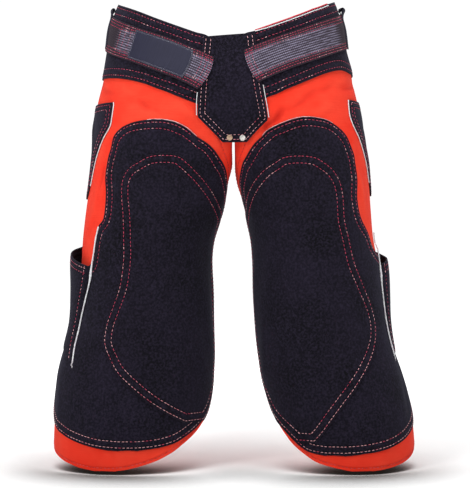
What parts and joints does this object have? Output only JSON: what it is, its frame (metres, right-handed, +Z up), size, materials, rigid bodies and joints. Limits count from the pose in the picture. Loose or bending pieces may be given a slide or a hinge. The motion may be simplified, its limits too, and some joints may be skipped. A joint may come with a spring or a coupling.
{
  "type": "farrier chaps",
  "caption": "Pair of protective open-backed leg aprons on a waist belt, with reinforcing leg patches, side pockets and calf straps.",
  "frame": {"origin": "in the middle of the wearer's waist, level with the middle of the belt at the sides", "axes": "+Z up along the standing wearer, -Y towards the front, +X towards the wearer's left"},
  "size_m": [0.542, 0.2475, 0.6883],
  "materials": {
    "red_canvas": "matt canvas",
    "black_suede": "napped split suede",
    "grey_webbing": "ribbed woven webbing",
    "label_cloth": "smooth coated cloth",
    "white_piping": "matt piping",
    "rivet_brass": "polished dome"
  },
  "bodies": {
    "root": {"leg_panel_right": "red_canvas", "thigh_patch_right": "black_suede", "knee_patch_right": "black_suede", "hip_pocket_right": "black_suede", "side_pocket_right": "black_suede", "leg_strap_right": "grey_webbing", "hip_band_right": "black_suede", "belt_tab_right": "grey_webbing", "hip_piping_right": "white_piping", "pocket_piping_right": "white_piping", "yoke_piping_right": "white_piping", "rivet_right": "rivet_brass", "leg_panel_left": "red_canvas", "thigh_patch_left": "black_suede", "knee_patch_left": "black_suede", "hip_pocket_left": "black_suede", "side_pocket_left": "black_suede", "leg_strap_left": "grey_webbing", "hip_band_left": "black_suede", "belt_tab_left": "grey_webbing", "hip_piping_left": "white_piping", "pocket_piping_left": "white_piping", "yoke_piping_left": "white_piping", "rivet_left": "rivet_brass", "front_yoke": "black_suede", "belt_back": "grey_webbing", "label_patch": "label_cloth"}
  },
  "joints": []
}
